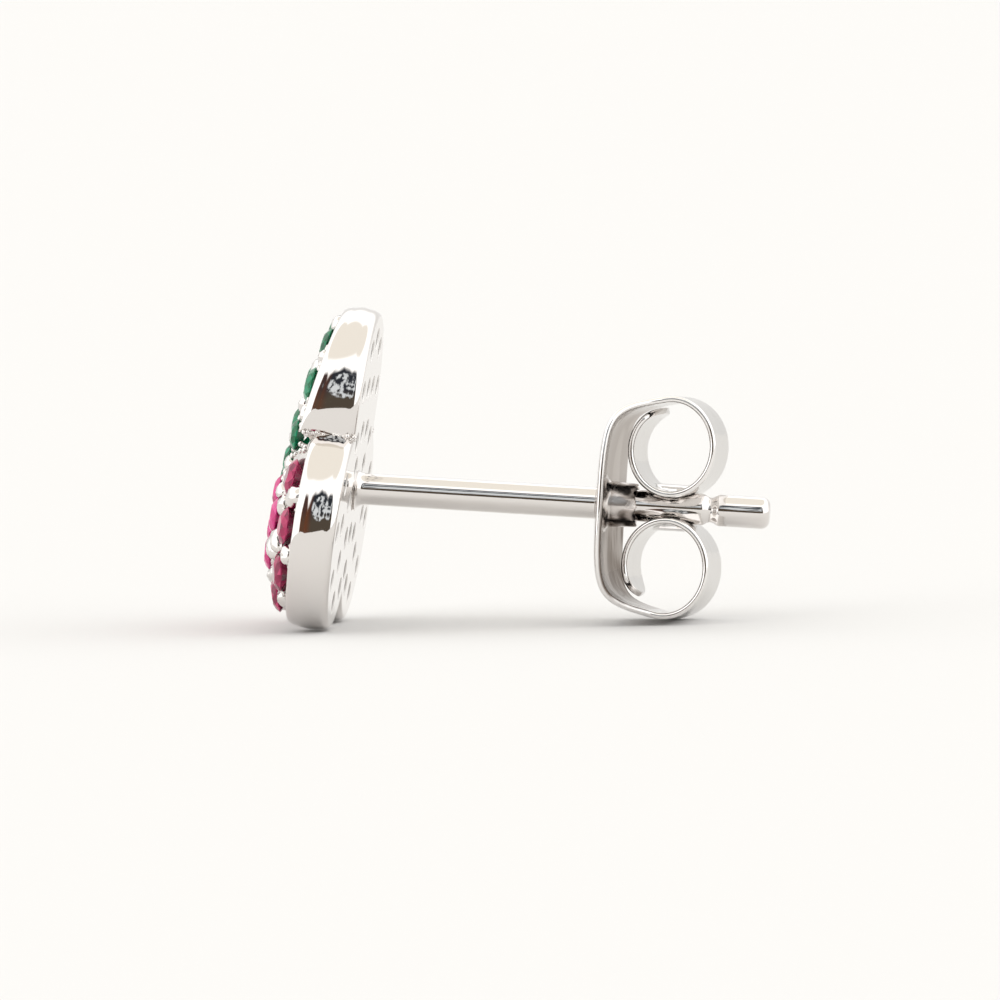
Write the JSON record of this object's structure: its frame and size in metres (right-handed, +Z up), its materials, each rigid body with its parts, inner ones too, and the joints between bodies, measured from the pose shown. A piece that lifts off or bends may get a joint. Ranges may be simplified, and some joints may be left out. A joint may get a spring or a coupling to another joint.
{
  "type": "stud earring",
  "caption": "Stud earring with a domed trefoil head paved in green and ruby stones, a straight post and a sliding butterfly clutch.",
  "frame": {"origin": "bottom centre of the box round the earring as it rests on a table, on the table's surface", "axes": "+Z up, +Y from the head's front to the post's tip, X across the head; mirror-symmetric about the YZ plane, but for the clutch's 3 degree turn and 3 degree roll on the post"},
  "size_m": [0.0086, 0.0127, 0.0081],
  "materials": {
    "polished_silver": "mirror polished, rhodium white",
    "clutch_silver": "polished sheet",
    "green_stone": "faceted, clear green",
    "ruby_stone": "faceted, clear ruby red to pink"
  },
  "bodies": {
    "head": {"setting_with_post": "polished_silver", "green_paving": "green_stone", "ruby_paving": "ruby_stone"},
    "clutch": {"butterfly_clutch": "clutch_silver"}
  },
  "joints": [
    {"name": "clutch_slide", "type": "slide", "parent": "head", "child": "clutch", "axis": [0, 0.9972, -0.075], "range_m": [-0.00575, 0.00375]}
  ]
}
